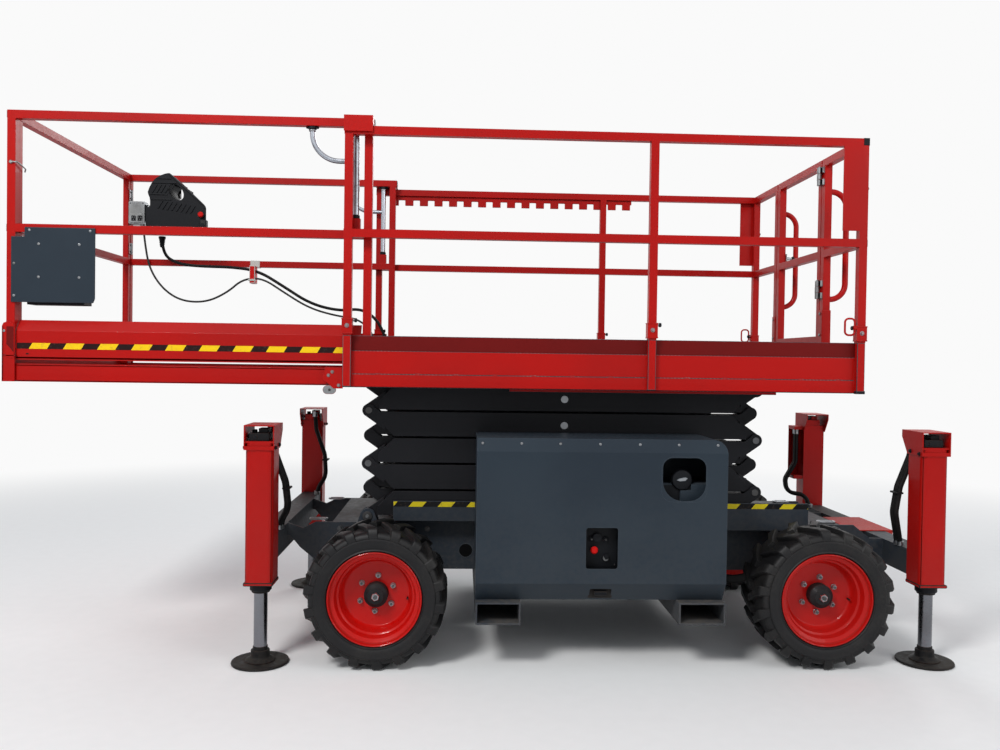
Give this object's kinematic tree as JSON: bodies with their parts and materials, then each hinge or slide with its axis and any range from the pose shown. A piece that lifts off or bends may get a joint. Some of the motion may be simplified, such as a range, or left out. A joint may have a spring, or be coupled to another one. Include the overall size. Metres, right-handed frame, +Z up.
{
  "type": "scissor lift",
  "caption": "Rough-terrain scissor lift: railed platform with roll-out deck, stacked crossed arms, four wheels and corner outriggers.",
  "frame": {"origin": "on the ground under the middle of the machine's overall box", "axes": "+X along the machine to the gate end, +Y across it to the engine side, +Z up"},
  "size_m": [4.48, 1.73, 2.537],
  "materials": {
    "tyre": "worn rubber",
    "rim": "gloss red",
    "red_paint": "gloss red",
    "grey_paint": "satin dark blue-grey",
    "dark_paint": "satin black",
    "arm_paint": "satin black",
    "plated": "zinc plated",
    "chromed": "chromed rod",
    "black_plastic": "moulded black",
    "cable": "black sheath"
  },
  "bodies": {
    "chassis": {"chassis_frame": "grey_paint", "fork_pockets": "grey_paint", "control_cabinet": "grey_paint", "engine_cabinet": "grey_paint", "engine_block": "dark_paint", "base_controls": "black_plastic", "rear_step": "red_paint", "front_axle": "dark_paint", "rear_axle": "dark_paint", "outrigger_posts": "red_paint"},
    "knuckle_near": {"knuckle_near": "dark_paint"},
    "knuckle_far": {"knuckle_far": "dark_paint"},
    "tie_rod": {"tie_rod": "plated"},
    "wheel_front_near": {"tyre_front_near": "tyre", "rim_front_near": "rim"},
    "wheel_front_far": {"tyre_front_far": "tyre", "rim_front_far": "rim"},
    "wheel_rear_near": {"tyre_rear_near": "tyre", "rim_rear_near": "rim"},
    "wheel_rear_far": {"tyre_rear_far": "tyre", "rim_rear_far": "rim"},
    "leg_front_near": {"leg_front_near": "chromed"},
    "leg_front_far": {"leg_front_far": "chromed"},
    "leg_rear_near": {"leg_rear_near": "chromed"},
    "leg_rear_far": {"leg_rear_far": "chromed"},
    "lift_barrel": {"lift_barrel": "dark_paint"},
    "lift_rod": {"lift_rod": "chromed"},
    "platform": {"platform_deck": "red_paint", "main_rails": "red_paint", "lock_rack": "red_paint"},
    "gate": {"gate": "red_paint"},
    "extension": {"extension_deck": "red_paint", "extension_rails": "red_paint", "lock_handles": "plated", "control_box": "black_plastic", "outlet_box": "plated", "mounting_plate": "grey_paint", "document_box": "black_plastic", "control_cable": "cable", "outlet_cable": "cable"},
    "outer_1": {"outer_arms_1": "arm_paint"},
    "inner_1": {"inner_arms_1": "arm_paint"},
    "outer_2": {"outer_arms_2": "arm_paint"},
    "inner_2": {"inner_arms_2": "arm_paint"},
    "outer_3": {"outer_arms_3": "arm_paint"},
    "inner_3": {"inner_arms_3": "arm_paint"},
    "outer_4": {"outer_arms_4": "arm_paint"},
    "inner_4": {"inner_arms_4": "arm_paint"},
    "outer_5": {"outer_arms_5": "arm_paint"},
    "inner_5": {"inner_arms_5": "arm_paint"}
  },
  "joints": [
    {"name": "lift", "type": "hinge", "parent": "chassis", "child": "outer_1", "pos_m": [-0.594, 0, 0.643], "axis": [0, -1, 0], "range_deg": [0, 62]},
    {"name": "outer_arms_2_turn", "type": "hinge", "parent": "outer_1", "child": "outer_2", "pos_m": [1.35, 0, 0.7743], "axis": [0, 1, 0], "range_deg": [0, 124]},
    {"name": "outer_arms_3_turn", "type": "hinge", "parent": "outer_2", "child": "outer_3", "pos_m": [-0.594, 0, 0.9056], "axis": [0, -1, 0], "range_deg": [0, 124]},
    {"name": "outer_arms_4_turn", "type": "hinge", "parent": "outer_3", "child": "outer_4", "pos_m": [1.35, 0, 1.0369], "axis": [0, 1, 0], "range_deg": [0, 124]},
    {"name": "outer_arms_5_turn", "type": "hinge", "parent": "outer_4", "child": "outer_5", "pos_m": [-0.594, 0, 1.1682], "axis": [0, -1, 0], "range_deg": [0, 124]},
    {"name": "inner_arms_1_turn", "type": "hinge", "parent": "outer_1", "child": "inner_1", "pos_m": [0.378, 0, 0.70865], "axis": [0, 1, 0], "range_deg": [0, 124]},
    {"name": "inner_arms_2_turn", "type": "hinge", "parent": "outer_2", "child": "inner_2", "pos_m": [0.378, 0, 0.83995], "axis": [0, -1, 0], "range_deg": [0, 124]},
    {"name": "inner_arms_3_turn", "type": "hinge", "parent": "outer_3", "child": "inner_3", "pos_m": [0.378, 0, 0.97125], "axis": [0, 1, 0], "range_deg": [0, 124]},
    {"name": "inner_arms_4_turn", "type": "hinge", "parent": "outer_4", "child": "inner_4", "pos_m": [0.378, 0, 1.10255], "axis": [0, -1, 0], "range_deg": [0, 124]},
    {"name": "inner_arms_5_turn", "type": "hinge", "parent": "outer_5", "child": "inner_5", "pos_m": [0.378, 0, 1.23385], "axis": [0, 1, 0], "range_deg": [0, 124]},
    {"name": "platform_level", "type": "hinge", "parent": "inner_5", "child": "platform", "pos_m": [-0.594, 0, 1.2995], "axis": [0, -1, 0], "range_deg": [0, 62]},
    {"name": "barrel_swing", "type": "hinge", "parent": "inner_1", "child": "lift_barrel", "pos_m": [1.11672, 0, 0.65876], "axis": [0, 1, 0], "range_deg": [0, 7.07]},
    {"name": "rod_slide", "type": "slide", "parent": "lift_barrel", "child": "lift_rod", "axis": [-0.9927, 0, 0.1203], "range_m": [0, 0.83732]},
    {"name": "steer_near", "type": "hinge", "parent": "chassis", "child": "knuckle_near", "pos_m": [-0.52, -0.55, 0.33], "axis": [0, 0, 1], "range_deg": [-28, 28]},
    {"name": "steer_far", "type": "hinge", "parent": "chassis", "child": "knuckle_far", "pos_m": [-0.52, 0.55, 0.33], "axis": [0, 0, 1], "range_deg": [-28, 28]},
    {"name": "tie_rod_turn", "type": "hinge", "parent": "knuckle_near", "child": "tie_rod", "pos_m": [-0.36, -0.55, 0.312], "axis": [0, 0, 1], "range_deg": [-28, 28]},
    {"name": "wheel_front_near_spin", "type": "hinge", "parent": "knuckle_near", "child": "wheel_front_near", "pos_m": [-0.52, -0.715, 0.33], "axis": [0, 1, 0], "continuous": true},
    {"name": "wheel_front_far_spin", "type": "hinge", "parent": "knuckle_far", "child": "wheel_front_far", "pos_m": [-0.52, 0.715, 0.33], "axis": [0, 1, 0], "continuous": true},
    {"name": "wheel_rear_near_spin", "type": "hinge", "parent": "chassis", "child": "wheel_rear_near", "pos_m": [1.574, -0.715, 0.33], "axis": [0, 1, 0], "continuous": true},
    {"name": "wheel_rear_far_spin", "type": "hinge", "parent": "chassis", "child": "wheel_rear_far", "pos_m": [1.574, 0.715, 0.33], "axis": [0, 1, 0], "continuous": true},
    {"name": "leg_front_near_slide", "type": "slide", "parent": "chassis", "child": "leg_front_near", "axis": [0, 0, 1], "range_m": [0, 0.2]},
    {"name": "leg_front_far_slide", "type": "slide", "parent": "chassis", "child": "leg_front_far", "axis": [0, 0, 1], "range_m": [0, 0.2]},
    {"name": "leg_rear_near_slide", "type": "slide", "parent": "chassis", "child": "leg_rear_near", "axis": [0, 0, 1], "range_m": [0, 0.2]},
    {"name": "leg_rear_far_slide", "type": "slide", "parent": "chassis", "child": "leg_rear_far", "axis": [0, 0, 1], "range_m": [0, 0.2]},
    {"name": "extension_slide", "type": "slide", "parent": "platform", "child": "extension", "axis": [1, 0, 0], "range_m": [0, 1.5]},
    {"name": "gate_swing", "type": "hinge", "parent": "platform", "child": "gate", "pos_m": [1.7125, -0.322, 2], "axis": [0, 0, 1], "range_deg": [0, 90]}
  ],
  "couplings": [
    {"joint": "outer_arms_2_turn", "follows": "lift", "ratio": 2},
    {"joint": "outer_arms_3_turn", "follows": "lift", "ratio": 2},
    {"joint": "outer_arms_4_turn", "follows": "lift", "ratio": 2},
    {"joint": "outer_arms_5_turn", "follows": "lift", "ratio": 2},
    {"joint": "inner_arms_1_turn", "follows": "lift", "ratio": 2},
    {"joint": "inner_arms_2_turn", "follows": "lift", "ratio": 2},
    {"joint": "inner_arms_3_turn", "follows": "lift", "ratio": 2},
    {"joint": "inner_arms_4_turn", "follows": "lift", "ratio": 2},
    {"joint": "inner_arms_5_turn", "follows": "lift", "ratio": 2},
    {"joint": "platform_level", "follows": "lift", "ratio": 1},
    {"joint": "barrel_swing", "follows": "lift", "ratio": 0.11397},
    {"joint": "rod_slide", "follows": "lift", "m_per_rad": 0.77379},
    {"joint": "steer_far", "follows": "steer_near", "ratio": 1},
    {"joint": "tie_rod_turn", "follows": "steer_near", "ratio": -1}
  ]
}
